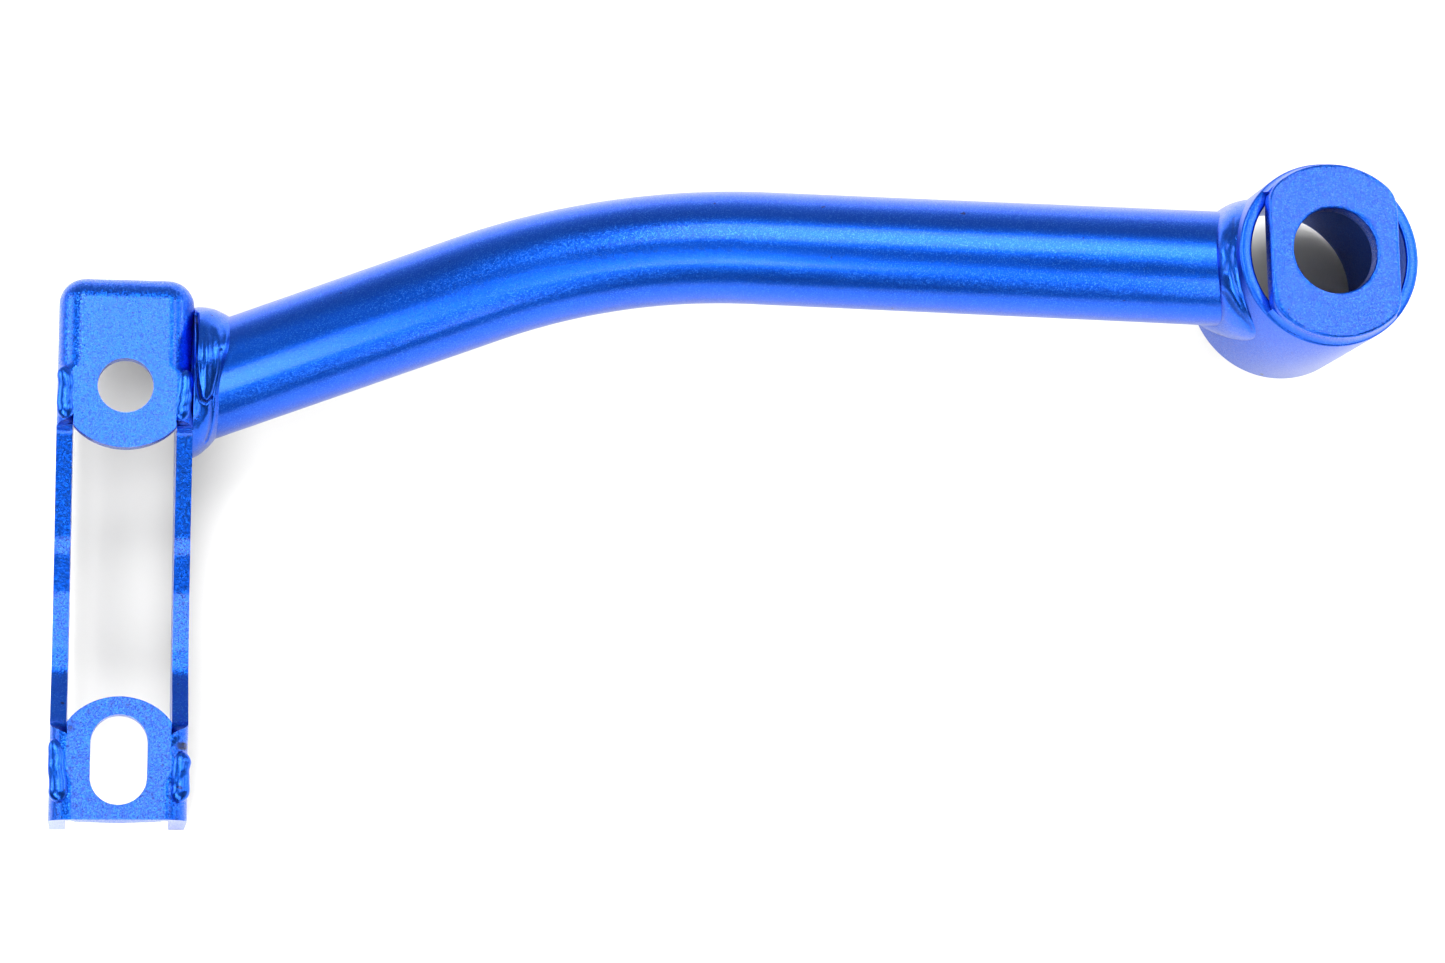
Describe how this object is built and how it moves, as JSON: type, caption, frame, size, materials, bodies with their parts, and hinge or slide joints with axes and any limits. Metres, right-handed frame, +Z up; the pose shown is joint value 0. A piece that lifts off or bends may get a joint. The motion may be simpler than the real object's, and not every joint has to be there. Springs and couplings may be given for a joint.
{
  "type": "sway bar mount brace",
  "caption": "Bent round tube welded between an upright flatted-washer sleeve and a pressed two-bolt bracket with an open window, all in blue metallic coating.",
  "frame": {"origin": "centre of the sleeve's open lower rim, on the axis of its bore", "axes": "+Z up as the brace lies on a bench, on the inner foot of the bracket and the rim of the sleeve; +X along the brace from the bracket towards the sleeve; +Y from the bracket's open end towards its closed end. The bolt axes lean about 14.9 degrees from +Z towards +X, the same for both ends."},
  "size_m": [0.3114, 0.1408, 0.0478],
  "materials": {
    "tube_coat": "metallic blue powder coat, fine flake, satin gloss",
    "plate_coat": "metallic blue powder coat over pressed and cut plate, thinner at the edges",
    "weld_coat": "metallic blue powder coat over rippled weld beads"
  },
  "bodies": {
    "root": {"main_tube": "tube_coat", "sleeve": "tube_coat", "end_plate": "plate_coat", "pressed_bracket": "plate_coat", "sleeve_weld": "weld_coat", "bracket_weld": "weld_coat", "plate_weld_front": "weld_coat", "plate_weld_rear": "weld_coat", "tongue_weld_left": "weld_coat", "tongue_weld_right": "weld_coat", "tab_weld_left": "weld_coat", "tab_weld_right": "weld_coat"}
  },
  "joints": []
}
